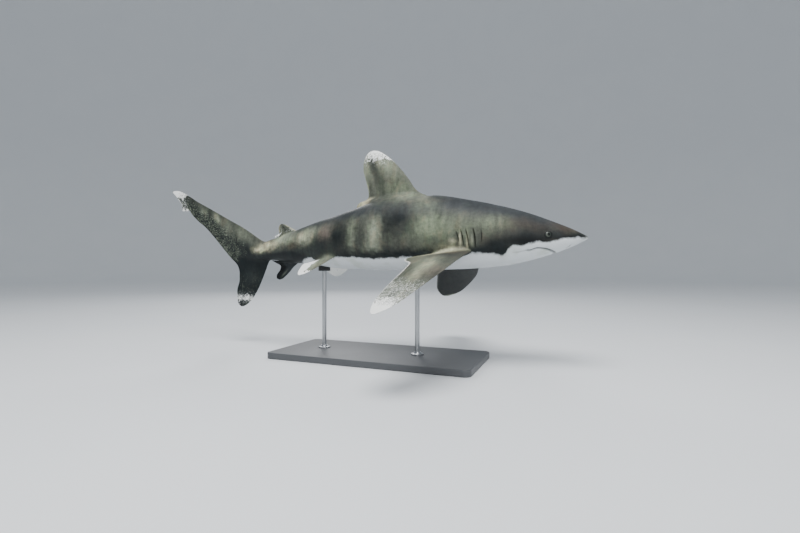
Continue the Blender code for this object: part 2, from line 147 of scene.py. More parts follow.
# The axis runs backwards from the snout, turning by the three tables of angles.
def axisTrack():
    u = np.linspace(0, 1, 1001)
    left, up, lean = (
        np.radians(smoothCurve(u, *zip(*shark[k]))) for k in ("turnLeft", "turnUp", "leanRight")
    )
    forward = np.stack([np.cos(left) * np.cos(up), np.sin(left) * np.cos(up), np.sin(up)], 1)
    level = np.stack([-np.sin(left), np.cos(left), 0 * u], 1)
    above = np.cross(forward, level)
    sideways = level * np.cos(lean)[:, None] + above * np.sin(lean)[:, None]
    above = np.cross(forward, sideways)
    mean = (forward[1:] + forward[:-1]) / 2 * (u[1] - u[0]) * size
    axis = -np.concatenate([np.zeros((1, 3)), np.cumsum(mean, 0)])
    middle = [np.interp(shark["balance"], u, a) for a in axis.T]
    return u, axis - middle + [0, 0, shark["axisHeight"]], forward, sideways, above


axisU, *axisParts = axisTrack()


def axisAt(u):
    return [np.stack([np.interp(u, axisU, a) for a in part.T], -1) for part in axisParts]


# A straight point is carried to its place on the axis, along the axis's own left and up there.
def bend(points):
    place, _, left, up = axisAt(points[..., 0])
    return place + size * (points[..., 1:2] * left + points[..., 2:3] * up)


# The reverse: u slides until the point lies square across the axis, then y and z are read off.
def straighten(world):
    u = np.interp(world[..., 0], axisParts[0][::-1, 0], axisU[::-1])
    for _ in range(8):
        place, forward, left, up = axisAt(u)
        away = world - place
        u = np.clip(u - (away * forward).sum(-1) / size, 0, 1)
    y, z = ((away * way).sum(-1) / size for way in (left, up))
    return np.stack([u, y, z], -1)


def bodyShape(u):
    return [smoothCurve(np.sqrt(u), np.sqrt(bodyTable[:, 0]), bodyTable[:, i]) for i in range(1, 5)]


# Round the body from the back down its left side: an ellipse above the widest place, and a
# flatter superellipse below it.
def bodySurface(u, angle):
    width, back, belly, widest = bodyShape(u)
    up, side = np.cos(angle), np.sin(angle)
    power = np.where(up > 0, 1.0, 2 / shark["bellyFlatness"])
    y = width * np.sign(side) * np.abs(side) ** power
    z = widest + np.where(up > 0, back - widest, widest - belly) * np.sign(up) * np.abs(up) ** power
    return np.stack([np.broadcast_to(u, y.shape), y, z], -1)


# The half of the section at u that height z lies in: the section's half width and the height of
# its widest place, then how tall that half is and the power of its curve.
def section(u, z):
    width, back, belly, widest = bodyShape(np.asarray(u, float))
    above = z > widest
    power = np.where(above, 2.0, shark["bellyFlatness"])
    return width, widest, np.where(above, back - widest, widest - belly), power


# How high a straight point is over the body's surface, in metres; under it is negative.
def heightOver(points):
    u, y, z = np.moveaxis(points, -1, 0)
    width, widest, tall, power = section(np.clip(u, 0, bodyEnd), z)
    ratio = (np.abs(y / width) ** power + np.abs((z - widest) / tall) ** power) ** (1 / power)
    return (1 - 1 / np.maximum(ratio, 1e-6)) * np.hypot(y, z - widest) * size


# The body's skin is a grid of rings, with every crease and opening worked into it. Lengths are in
# metres. Lines are given in thousandths of the shark's length, and single places in shares of it.

skin = {
    "end": 0.77,
    "around": 160,
    "aroundRear": 80,
    "rearStart": 0.268,
    "sideDensity": 0.24,  # draws the ring's points towards the sides
    # u in thousandths, and the space between rings there in millimetres
    "spacing": [
        (0, 1.6), (12, 2), (26, 1.6), (40, 1.8), (60, 1.9), (120, 2.1), (135, 3.4), (170, 2.8),
        (182, 1.8), (242, 1.8), (256, 3.8), (300, 7.5), (700, 8), (720, 4.5), (740, 7), (770, 7),
    ],
}

gills = {
    # u and z of each slit's top, and of its bottom, which lies further forward
    "slits": [
        ((190.5, 11.9), (189.6, -9.5)), ((204.2, 13.5), (201, -20)), ((218, 13), (212.8, -18.5)),
        ((227.2, 12.5), (221.8, -18)), ((235.2, 8.5), (230.6, -10)),
    ],
    "depths": [0.005, 0.0095, 0.0065, 0.006, 0.005],
    "flap": 0.0016,
    "flapLength": 0.0085,
    "dropLength": 0.0026,
    "reach": 0.006,  # how far points are drawn to a slit
    "bow": 0.0012,  # how far each bows forward, as a share of the shark
}

eye = {
    "place": (0.0755, 0.0353, 0.0015),
    "middle": (0.0734, 0.0032),  # u and z of the opening's middle, which the eye looks out through
    "radius": 0.0105 * size,
    "cornea": 0.0006,
    "opening": 0.0132,
    "lid": 0.001,
    "fold": 0.0005,
    "socket": 0.009,
    "reach": 0.009,
    "pupil": (0.0056, 0.0064),  # half width and half height
}

mouth = {
    # u and z of the slit, from its front under the snout to its corners
    "line": [
        (52, -29.7), (63, -27), (74, -23.9), (83, -22.3), (91, -21.6), (98, -23.2), (104, -25.5),
        (113, -26.7),
    ],
    "halfWidth": (0.0044, 0.0022),  # at its front and at its corners
    "depth": (0.0105, 0.006),
    "lip": 0.0008,
    "reach": 0.007,
    # the furrow over each corner, and the fold behind it: its line, half width, depth and the darkness of
    # the painted shade in it
    "furrows": [
        ([(113.5, -26.4), (110, -24.2), (106, -23.4)], 0.002, 0.0018, 0.55),
        ([(112, -26.2), (119, -27.4), (127.5, -29.1), (136.5, -29.6)], 0.0028, 0.0016, 0.5),
    ],
}

nostril = {
    "ends": [(0.04, 0.0165), (0.0335, 0.024)],  # u and y, under the snout
    "depth": 0.005,
    "halfWidth": 0.0022,
    "flap": 0.0016,
    "flapAhead": 0.0045,
    "flapWidth": 0.0042,
}

flesh = {
    "swell": 0.0007,
    "ripple": 0.0007,
    "rippleLength": 0.0125,
    "lateralLine": ([0, 0.2, 0.3, 0.55, 0.72, 0.89], [0.02, 0.032, 0.036, 0.022, 0.004, 0.004]),
    "lateralDepth": 0.0004,
    "tailPits": [(0, 0.0035), (math.pi, 0.0022)],  # angle round the body and depth
    "tailPitPlace": 0.7215,
}


# Rings stand where the running total of 1 / spacing passes each whole number.
def ringStops():
    u = np.linspace(0, skin["end"], 8001)
    gap = smoothCurve(u, *perMille(skin["spacing"]).T) / size
    total = np.concatenate([[0], np.cumsum((1 / gap[1:] + 1 / gap[:-1]) / 2 * np.diff(u))])
    return np.interp(np.arange(1, int(total[-1]) + 1) * total[-1] / int(total[-1]), total, u)


# Distance of each point to a chain of points, and how far along the chain the nearest is.
def nearLine(points, line):
    t = np.linspace(0, 1, 70)
    at = np.linspace(0, 1, len(line))
    dense = np.stack([np.interp(t, at, c) for c in np.asarray(line).T], 1)
    gap = np.linalg.norm(points[:, None, :] - dense[None], axis=2)
    nearest = gap.argmin(1)
    return gap[np.arange(len(points)), nearest], t[nearest]


# Draws points towards a line: a distance d under reach becomes reach * (d / reach) ** power.
def drawTo(distance, reach, power=1.6):
    share = np.clip(np.abs(distance) / reach, 0, 1)
    return np.where(share < 1, np.sign(distance) * reach * share**power - distance, 0)


# The point of the body's surface at u and z, on the left (1) or the right side (-1).
def sidePoint(u, z, side):
    width, widest, tall, power = section(u, z)
    y = width * (1 - np.clip(np.abs(z - widest) / tall, 0, 1) ** power) ** (1 / power)
    return np.stack(np.broadcast_arrays(u, side * y, z), -1)


# The point under the body at u and y.
def underPoint(u, y):
    width, widest, tall, power = section(u, -1)
    return np.stack([u, y, widest - tall * (1 - np.abs(y / width) ** power) ** (1 / power)], -1)


# Outward directions of a grid of points, from the differences along it and around it.
def gridNormals(points):
    along = np.gradient(points, axis=0)
    around = np.roll(points, -1, 1) - np.roll(points, 1, 1)
    normal = unit(np.cross(along, around))
    outward = points - points.mean(1, keepdims=True)
    return normal * np.sign((normal * outward).sum(-1).mean())


# A slit's line from top to bottom, bowed forward as half a sine.
def slitLine(slit, side):
    top, low = perMille(slit)
    t = np.linspace(0, 1, 40)
    u = top[0] + (low[0] - top[0]) * t - gills["bow"] * np.sin(math.pi * t)
    return sidePoint(u, top[1] + (low[1] - top[1]) * t, side)


# For the grid's points near a slit: which they are, how far behind it they lie (in front of it
# is negative), and how far down it.
def besideSlit(u, base, line, side, reach, points):
    near = (np.abs(u - line[:, 0].mean()) < reach) & (base[..., 1] * side > 0)
    distance, share = nearLine(points[near], line * size)
    lineU = np.interp(base[near][:, 2], line[::-1, 2], line[::-1, 0])
    return near, np.sign(base[near][:, 0] - lineU) * distance, share


# The grid: u of each ring and angle of each point, with u drawn to the gill slits, then every
# opening pressed in along the outward direction.
def bodyGrid():
    t = np.linspace(0, 2 * math.pi, skin["around"], endpoint=False)
    angle = t + skin["sideDensity"] * np.sin(2 * t)
    u = np.repeat(ringStops()[:, None], len(t), 1)
    angle = np.broadcast_to(angle, u.shape)
    base = bodySurface(u, angle)
    slits = [
        (slitLine(slit, side), side, depth)
        for slit, depth in zip(gills["slits"], gills["depths"]) for side in bothSides
    ]
    for line, side, _ in slits:
        near, behind, share = besideSlit(u, base, line, side, 0.012, base * size)
        u[near] += drawTo(behind, gills["reach"]) * ease(share, 0, 0.06) * ease(share, 1, 0.94) / size

    # on each side one column of points runs along the mouth's slit
    lineU, lineZ = perMille(mouth["line"]).T
    _, _, low, widest = bodyShape(u)
    deep = np.clip((widest - smoothCurve(u, lineU, lineZ)) / (widest - low), 0, 1)
    slit = math.pi - np.arccos(deep ** (shark["bellyFlatness"] / 2))
    beside = (u[:, 0] > 0.08) & (u[:, 0] < 0.1)
    column = np.abs(angle[0] - slit[beside].mean()).argmin()
    follow = ease(u, 0.064, 0.074) * ease(u, 0.135, 0.116)
    for at, line in ((angle[0, column], slit), (2 * math.pi - angle[0, column], 2 * math.pi - slit)):
        angle = angle + (line - at) * follow * bell(angle, at, 0.42)
    base = bodySurface(u, angle)
    points = base * size
    normal = gridNormals(points)
    press = np.zeros(u.shape)
    # painted shade inside the openings and creases, 0 to 1, which darkens the coat there
    creaseShade = np.zeros(u.shape)

    # the eyes' openings: points are drawn to the rim, and those inside it sink behind the eyeball
    for side in bothSides:
        centre = sidePoint(*eye["middle"], side) * size
        near = np.linalg.norm(points - centre, axis=-1) < 0.03
        away = points[near] - centre
        past = np.linalg.norm(away, axis=-1) - eye["opening"]
        points[near] += unit(away) * drawTo(past, eye["reach"], 1.7)[:, None]
        past = np.linalg.norm(points[near] - centre, axis=-1) - eye["opening"]
        inside = ease(past, 0, -0.0022)
        rim = bell(past, 0.0008, 0.0018) * (1 - inside)
        press[near] += -eye["socket"] * inside + eye["lid"] * rim - eye["fold"] * bell(past, 0.0062, 0.0022)
        creaseShade[near] = np.maximum(creaseShade[near], inside)

    # the mouth: distances are counted up the skin from the slit's own line
    height = smoothCurve(points[..., 0] / size, lineU, lineZ)
    rise = (smoothCurve(points[..., 0] / size + 0.001, lineU, lineZ) - height) / 0.001
    climb = np.stack([-rise, 0 * rise, 1 + 0 * rise], -1)
    climb = climb - normal * (normal * climb).sum(-1, keepdims=True)
    steep = np.maximum(np.linalg.norm(climb, axis=-1), 0.15)
    distance = (points[..., 2] - height * size) / steep
    shown = ease(u, lineU[-1] + 0.0015, lineU[-1] - 0.005) * (base[..., 2] < 0) * (u > lineU[0])
    pull = drawTo(distance, mouth["reach"], 1.7) * shown
    points += unit(climb) * pull[..., None]
    distance = distance + pull
    back = ease(u, lineU[1], lineU[-1])
    wide, deep = (a + (b - a) * back for a, b in (mouth["halfWidth"], mouth["depth"]))
    slot = shown / (1 + (distance / wide) ** 6)
    lips = bell(distance - wide, 0.0022, 0.0026) - 1.2 * bell(distance + wide, -0.0026, 0.0038)
    press += mouth["lip"] * lips * shown - deep * slot
    creaseShade = np.maximum(creaseShade, slot)

    # for the points near a line: which they are, their distance to it and how far along it
    def closeTo(line, reach):
        near = np.linalg.norm(points - line.mean(0), axis=-1) < reach
        return near, *nearLine(points[near], line)

    # the furrows at the mouth's corners, and the nostrils: slanting slots under the snout, each
    # half covered by a flap in front
    for side in bothSides:
        for corner, reach, depth, furrowShade in mouth["furrows"]:
            near, distance, share = closeTo(sidePoint(*perMille(corner).T, side) * size, 0.05)
            dent = bell(distance, 0, reach) * ease(share, 1.1, 0.6)
            press[near] -= depth * dent
            creaseShade[near] = np.maximum(creaseShade[near], furrowShade * dent)
        ends = np.array(nostril["ends"])
        line = underPoint(ends[:, 0], side * ends[:, 1]) * size
        near, distance, share = closeTo(line, 0.03)
        slot = 1 / (1 + (distance / nostril["halfWidth"]) ** 4)
        lobe = line.mean(0) - [nostril["flapAhead"], 0, 0]
        flap = bell(np.linalg.norm(points[near] - lobe, axis=-1), 0, nostril["flapWidth"])
        press[near] += nostril["flap"] * flap - nostril["depth"] * slot
        creaseShade[near] = np.maximum(creaseShade[near], slot)

    # the gill slits: each flap rises towards its free edge, and the skin drops behind it
    for line, side, depth in slits:
        near, behind, share = besideSlit(u, base, line, side, 0.022, points)
        z = base[near][:, 2]
        over = np.maximum(np.maximum(z - line[0, 2], line[-1, 2] - z), 0)
        along = np.sin(math.pi * np.clip(share, 0.02, 0.98)) ** 0.4 * bell(over * size, 0, 0.0025)
        drop = ease(behind, -0.0002, 0.001) * np.exp(-np.maximum(behind - 0.0014, 0) / gills["dropLength"])
        rise = np.exp(np.minimum(behind, 0) / gills["flapLength"]) * ease(behind, 0.0006, 0)
        press[near] += (gills["flap"] * rise - depth * drop) * along
        creaseShade[near] = np.maximum(creaseShade[near], drop * along)

    # the pits over and under the root of the tail fin
    for low, depth in flesh["tailPits"]:
        turn = np.abs((angle - low + math.pi) % (2 * math.pi) - math.pi)
        press -= depth * bell((u - flesh["tailPitPlace"]) * size, 0, 0.0055) * bell(turn, 0, 0.65)

    # flesh: slow swells along the flank, faint ripples behind the gills, and the lateral line
    x, z = points[..., 0], points[..., 2]
    soft = ease(u, 0.14, 0.3) * ease(u, 0.74, 0.66)
    press += flesh["swell"] * soft * np.sin(x * 27 + 3 * np.sin(z * 19)) * np.sin(z * 31 + 1.3)
    ripple = bell(u, 0.262, 0.018) * bell(z / size, 0.004, 0.016)
    press += flesh["ripple"] * ripple * np.sin((x + 0.3 * z) * 2 * math.pi / flesh["rippleLength"])
    furrow = bell((z / size - smoothCurve(u, *flesh["lateralLine"])) * size, 0, 0.0022)
    press -= flesh["lateralDepth"] * furrow * ease(u, 0.15, 0.25) * ease(u, 0.71, 0.66)
    points += normal * press[..., None]

    # inside the tail fin the body shrinks, so that the fin alone shows
    middle = points.mean(1, keepdims=True)
    points = middle + (points - middle) * (1 - 0.14 * ease(u, 0.73, 0.748))[..., None]
    return points / size, base, creaseShade


# Faces between the rings of one grid; the last point of a ring meets its first.
def gridFaces(rows, count, start=0):
    i = np.arange(rows - 1)[:, None] * count
    j = np.arange(count)[None, :]
    k = (j + 1) % count
    return (np.stack([i + j, i + k, i + k + count, i + j + count], -1) + start).reshape(-1, 4).tolist()


# Triangles from a pole to a ring of points.
def fan(pole, start, count, way=1):
    k = np.arange(count)
    pair = [start + k, start + (k + 1) % count][::way]
    return np.stack([np.full(count, pole), *pair], 1).tolist()


# A grid of rings closed by a pole at each end; the poles come after the rings' points.
def closedFaces(rows, count):
    pole = rows * count
    return gridFaces(rows, count) + fan(pole, 0, count, -1) + fan(pole + 1, pole - count, count)


# The front rings at full count, the rear ones at half, three triangles to each wide step between
# them, and a pole at each end.
def bodyMesh():
    points, base, creaseShade = bodyGrid()
    full, half = skin["around"], skin["aroundRear"]
    cut = int(np.searchsorted(base[:, 0, 0], skin["rearStart"]))
    front, rear = points[:cut], points[cut:, ::2]
    end = rear[-1].mean(0) + [0.002, 0, 0]
    vertices = np.concatenate([front.reshape(-1, 3), rear.reshape(-1, 3), [[0, 0, 0], end]])
    creaseShades = np.concatenate([creaseShade[:cut].ravel(), creaseShade[cut:, ::2].ravel(), [0, 0]])
    start, pole = cut * full, len(vertices) - 2
    faces = gridFaces(cut, full) + gridFaces(len(rear), half, start)
    j, last = np.arange(half), start - full
    a, b, c = (last + (2 * j + i) % full for i in range(3))
    near, far = start + j, start + (j + 1) % half
    for corners in ((a, b, near), (b, far, near), (b, c, far)):
        faces += np.stack(corners, 1).tolist()
    return vertices, faces + fan(pole, 0, full, -1) + fan(pole + 1, pole - half, half), creaseShades


# The fins are closed shells round their own middle sheets.

edgeThickness = 0.0016
fins = {
    # kind: thickest share, rows, points across, radius of the fillet at its root in metres
    "firstDorsal": (0.01, 90, 32, 0.026),
    "secondDorsal": (0.005, 40, 16, 0.01),
    "anal": (0.005, 40, 16, 0.01),
    "upperCaudal": (0.0085, 120, 24, 0.0),
    "lowerCaudal": (0.0075, 56, 22, 0.0),
    "pectoral": (0.0095, 96, 30, 0.02),
    "pelvic": (0.006, 40, 18, 0.01),
}
finKinds = list(fins)
pectoralPlace = {"u": 0.2095, "y": 0.054, "z": -0.0265, "droop": 0.0155, "twist": 22.6, "about": 0.067}
pelvicPlace = {"u": 0.486, "y": 0.037, "z": -0.025, "droop": 0.0, "twist": 0.0, "about": 0.0}
pairedFins = {
    "pectoralLeft": ("pectoral", 1, {"down": 17.0, "back": -6.0, "pitch": 6.0, **pectoralPlace}),
    "pectoralRight": ("pectoral", -1, {"down": 15.0, "back": -1.5, "pitch": -3.0, **pectoralPlace}),
    "pelvicLeft": ("pelvic", 1, {"down": 39.0, "back": 4.0, "pitch": -8.0, **pelvicPlace}),
    "pelvicRight": ("pelvic", -1, {"down": 39.0, "back": 4.0, "pitch": -8.0, **pelvicPlace}),
}


# A point of a fin's middle sheet: t runs from its root to its tip through the outline's pairs, c
# from its front edge to its rear one. With it comes half its thickness there, as an airfoil has.
def finSheet(kind, t, c):
    index = np.arange(len(outlines[kind]))
    leadX, leadY, rearX, rearY = (smoothCurve(t, index, column) for column in perMille(outlines[kind]).T)
    chord = np.hypot(rearX - leadX, rearY - leadY)
    share = np.clip(t / index[-1], 0, 1)
    most = np.minimum(fins[kind][0] * (1 - share) ** 0.8, chord * 0.3)
    airfoil = np.sqrt(c) * (1 - c) * (1 - 0.35 * c) / 0.3422
    half = most * airfoil / 2 + edgeThickness / size * c / 2
    return leadX + c * (rearX - leadX), leadY + c * (rearY - leadY), half


# The tail's flesh inside the fin: the body's own section, a little thinner than the body ahead of
# the fin's root and thicker behind it, easing out to nothing at its edges further back.
def tailFlesh(u, z):
    width, widest, tall, power = section(np.clip(u, 0.6, bodyEnd), z)
    spread = ease(u, 0.735, 0.8)
    across = np.clip(1 - np.abs((z - widest) / (tall * (1 + 0.25 * spread))) ** power, 0, 1)
    return width * (0.95 + 0.1 * ease(u, 0.728, 0.742)) * across ** (1 / power + (1 - 1 / power) * spread)


# Where each paired fin stands: its root, and its chord, span and thickness directions.
def finFrame(side, place):
    root, forward, left, up = (v[0] for v in axisAt(np.array([place["u"]])))
    root = root + size * (side * place["y"] * left + place["z"] * up)
    down, back, pitch = (math.radians(place[k]) for k in ("down", "back", "pitch"))
    outwards = math.cos(back) * side * left - math.sin(back) * forward
    span = math.cos(down) * outwards - math.sin(down) * up
    chord = unit(-forward + span * (forward @ span))
    normal = np.cross(span, chord) * side
    chord = chord * math.cos(pitch) + normal * math.sin(pitch)
    return root, size * np.stack([chord, span, np.cross(span, chord) * side])


# A fin as a closed shell. Each line from root to tip starts where its middle sheet leaves the
# body, a few rows below the surface, and near the surface the section swells outwards as a
# quarter circle, so that it meets the body in a fillet. With its points come the facts that the
# coat reads: which fin, how far out, how far across, and which face.
def finShell(kind, side=0, place=None):
    _, rows, across, fillet = fins[kind]
    last = len(outlines[kind]) - 1
    c = (1 - np.cos(np.linspace(0, math.pi, across + 1))) / 2
    c = c * (1 - 0.25 * (1 - c)) if kind == "upperCaudal" else c
    if place:
        root, axes = finFrame(side, place)
        reach, twist = outlines[kind][-1][1] / 1000, math.radians(place["twist"])

    def placed(x, y, offset):
        if not place:
            return bend(np.stack([x, offset, y], -1))
        out = np.maximum(y / reach, 0)
        offset = offset - place["droop"] * out**2 - np.sin(twist * out) * (x - place["about"])
        return root + np.stack([x, y, offset], -1) @ axes

    first = np.zeros(len(c))
    if fillet:
        sample = np.linspace(0, 4, 161)[:, None]
        x, y, _ = finSheet(kind, sample, c[None])
        inside = heightOver(straighten(placed(x, y, 0 * x))) < 0
        first = sample[len(sample) - 1 - np.argmax(inside[::-1], 0), 0]
    t = first + (last - first) * np.linspace(0, 1, rows)[:, None] ** (1.3 if fillet else 1.0)
    if fillet:
        t = np.concatenate([[first - 0.22, first - 0.09, first - 0.03], t])
    t = np.maximum(t, 0)
    x, y, half = finSheet(kind, t, c[None])
    if kind == "upperCaudal":
        half = (half**4 + tailFlesh(x, y) ** 4) ** 0.25
    swell = 0
    if fillet:
        over = np.clip(heightOver(straighten(placed(x, y, 0 * x))), 0.04 * fillet, fillet) / fillet
        fade = ease(c, 0.0, 0.22) * ease(c, 0.95, 0.62)
        swell = fillet / size * (1 - np.sqrt(1 - (1 - over) ** 2)) * fade

    # round the section's outline, front edge first: down one side and back along the other
    def ring(values, way=1):
        values = values + 0 * x
        return np.concatenate([values, way * values[:, -2:0:-1]], 1)

    ringX, ringSide = ring(x), ring(half, -1)
    alongX, alongSide = (np.roll(a, -1, 1) - np.roll(a, 1, 1) for a in (ringX, ringSide))
    grow = ring(swell) / np.maximum(np.hypot(alongX, alongSide), 1e-9)
    vertices = placed(ringX - alongSide * grow, ring(y), ringSide + alongX * grow)
    rows, count = ringX.shape
    upper = np.where(np.arange(count) <= across, 1.0, -1.0) + 0 * ringX
    which = [np.full(ringX.shape, float(kind == other)) for other in finKinds]
    facts = np.stack([*which, ring(t) / last, ring(c), upper], -1).reshape(rows * count, -1)
    points = np.concatenate([vertices.reshape(-1, 3), [vertices[0].mean(0), vertices[-1].mean(0)]])
    return points, closedFaces(rows, count), np.concatenate([facts, facts[:1], facts[-1:]])


def newMesh(name, vertices, faces):
    mesh = bpy.data.meshes.new(name)
    mesh.from_pydata(vertices.tolist(), [], faces)
    mesh.update()
    return mesh


def newObject(name, data):
    obj = bpy.data.objects.new(name, data)
    bpy.context.scene.collection.objects.link(obj)
    return obj


# A closed surface's faces, turned round if the volume that they enclose comes out negative.
def outward(vertices, faces):
    first, second, third, fourth = (vertices[[f[i] for f in faces]] for i in (0, 1, 2, -1))
    volume = (first * (np.cross(second, third) + np.cross(third, fourth))).sum()
    return faces if volume > 0 else [f[::-1] for f in faces]


# Body and fins are joined into one skin, smoothed where they meet.

seam = {
    "rings": 7,  # how many edges away from the seam are smoothed
    "fade": 0.86,  # what is left of the smoothing from one edge to the next
    "least": 0.33,
    "rounds": 20,  # of smoothing, for the places and for the facts
    "factRounds": 8,
}


def unionOf(first, others):
    for other in others:
        step = first.modifiers.new("join", "BOOLEAN")
        step.operation, step.solver, step.object = "UNION", "MANIFOLD", other
    graph = bpy.context.evaluated_depsgraph_get()
    mesh = bpy.data.meshes.new_from_object(first.evaluated_get(graph))
    for other in (first, *others):
        bpy.data.objects.remove(other)
    return mesh


def meshArrays(mesh):
    points = np.empty(len(mesh.vertices) * 3, np.float32)
    mesh.vertices.foreach_get("co", points)
    edges = np.empty(len(mesh.edges) * 2, np.int32)
    mesh.edges.foreach_get("vertices", edges)
    return points.reshape(-1, 3).astype(float), edges.reshape(-1, 2)


# The mean of each vertex's neighbours, weighted.
def neighbourMean(values, weights, edges):
    total = np.zeros_like(values)
    count = np.zeros(len(values))
    for here, there in (edges.T, edges.T[::-1]):
        np.add.at(total, here, values[there] * weights[there, None])
        np.add.at(count, here, weights[there])
    return total / np.maximum(count, 1e-9)[:, None], count


# One number for each point's place, to the nearest 0.05 mm.
def matchKeys(points):
    keys = np.round(points * 2e4).astype(np.int64)
    return keys[:, 0] * (1 << 40) + keys[:, 1] * (1 << 20) + keys[:, 2]


# Facts known at the vertices of the pieces are found again by place; a vertex that the union
# made takes the mean of its neighbours.
def carryFacts(points, edges, known, facts):
    keys, order = np.unique(matchKeys(known), return_index=True)
    mine = matchKeys(points)
    at = np.clip(np.searchsorted(keys, mine), 0, len(keys) - 1)
    found = keys[at] == mine
    values = np.where(found[:, None], facts[order[at]], 0)
    have = found.astype(float)
    for _ in range(6):
        mean, count = neighbourMean(values, have, edges)
        fill = (have == 0) & (count > 0)
        values[fill], have[fill] = mean[fill], 1
    return values, ~found


def buildSkin():
    vertices, faces, creaseShades = bodyMesh()
    known = [bend(vertices)]
    facts = [np.concatenate([creaseShades[:, None], np.zeros((len(creaseShades), len(fins) + 3))], 1)]
    parts = [newObject("bodySkin", newMesh("bodySkin", known[0], outward(known[0], faces)))]
    shells = {kind: (kind,) for kind in finKinds[:5]}
    for name, spec in {**shells, **pairedFins}.items():
        points, faces, more = finShell(*spec)
        parts.append(newObject(name, newMesh(name, points, outward(points, faces))))
        known.append(points)
        facts.append(np.concatenate([np.zeros((len(points), 1)), more], 1))
    mesh = unionOf(parts[0], parts[1:])
    points, edges = meshArrays(mesh)
    values, made = carryFacts(points, edges, np.concatenate(known), np.concatenate(facts))
    weight = made.astype(float)
    for _ in range(seam["rings"]):
        spread = weight.copy()
        for here, there in (edges.T, edges.T[::-1]):
            np.maximum.at(spread, here, weight[there] * seam["fade"])
        weight = spread
    weight = np.where(weight > seam["least"], weight, 0)[:, None]
    evenly = np.ones(len(points))
    for _ in range(seam["rounds"]):
        mean, _ = neighbourMean(points, evenly, edges)
        points += (mean - points) * 0.5 * weight
    for _ in range(seam["factRounds"]):
        mean, _ = neighbourMean(values[:, 1:], evenly, edges)
        values[:, 1:] += (mean - values[:, 1:]) * 0.5 * np.minimum(weight * 1.6, 1)
    mesh.vertices.foreach_set("co", points.astype(np.float32).ravel())
    print(f"skin: {len(points)} points, {sum(len(p.vertices) - 2 for p in mesh.polygons)} triangles,"
          f" {int(made.sum())} made by the union")
    return mesh, points, values


# The skin's colours and markings.

# Colours as a paint chart gives them, 0 to 255.
paints = {
    "bronze": (84, 87, 78), "slate": (50, 55, 58), "brown": (64, 58, 51), "olive": (130, 141, 117),
    "pale": (156, 164, 143), "dusk": (50, 56, 54), "dark": (22, 29, 31), "ink": (7, 11, 13),
    # the belly paint is a cool light grey rather than white: partly painted shade under the body
    "cream": (208, 206, 174), "white": (242, 243, 239), "belly": (206, 211, 213), "pink": (120, 108, 99),
}

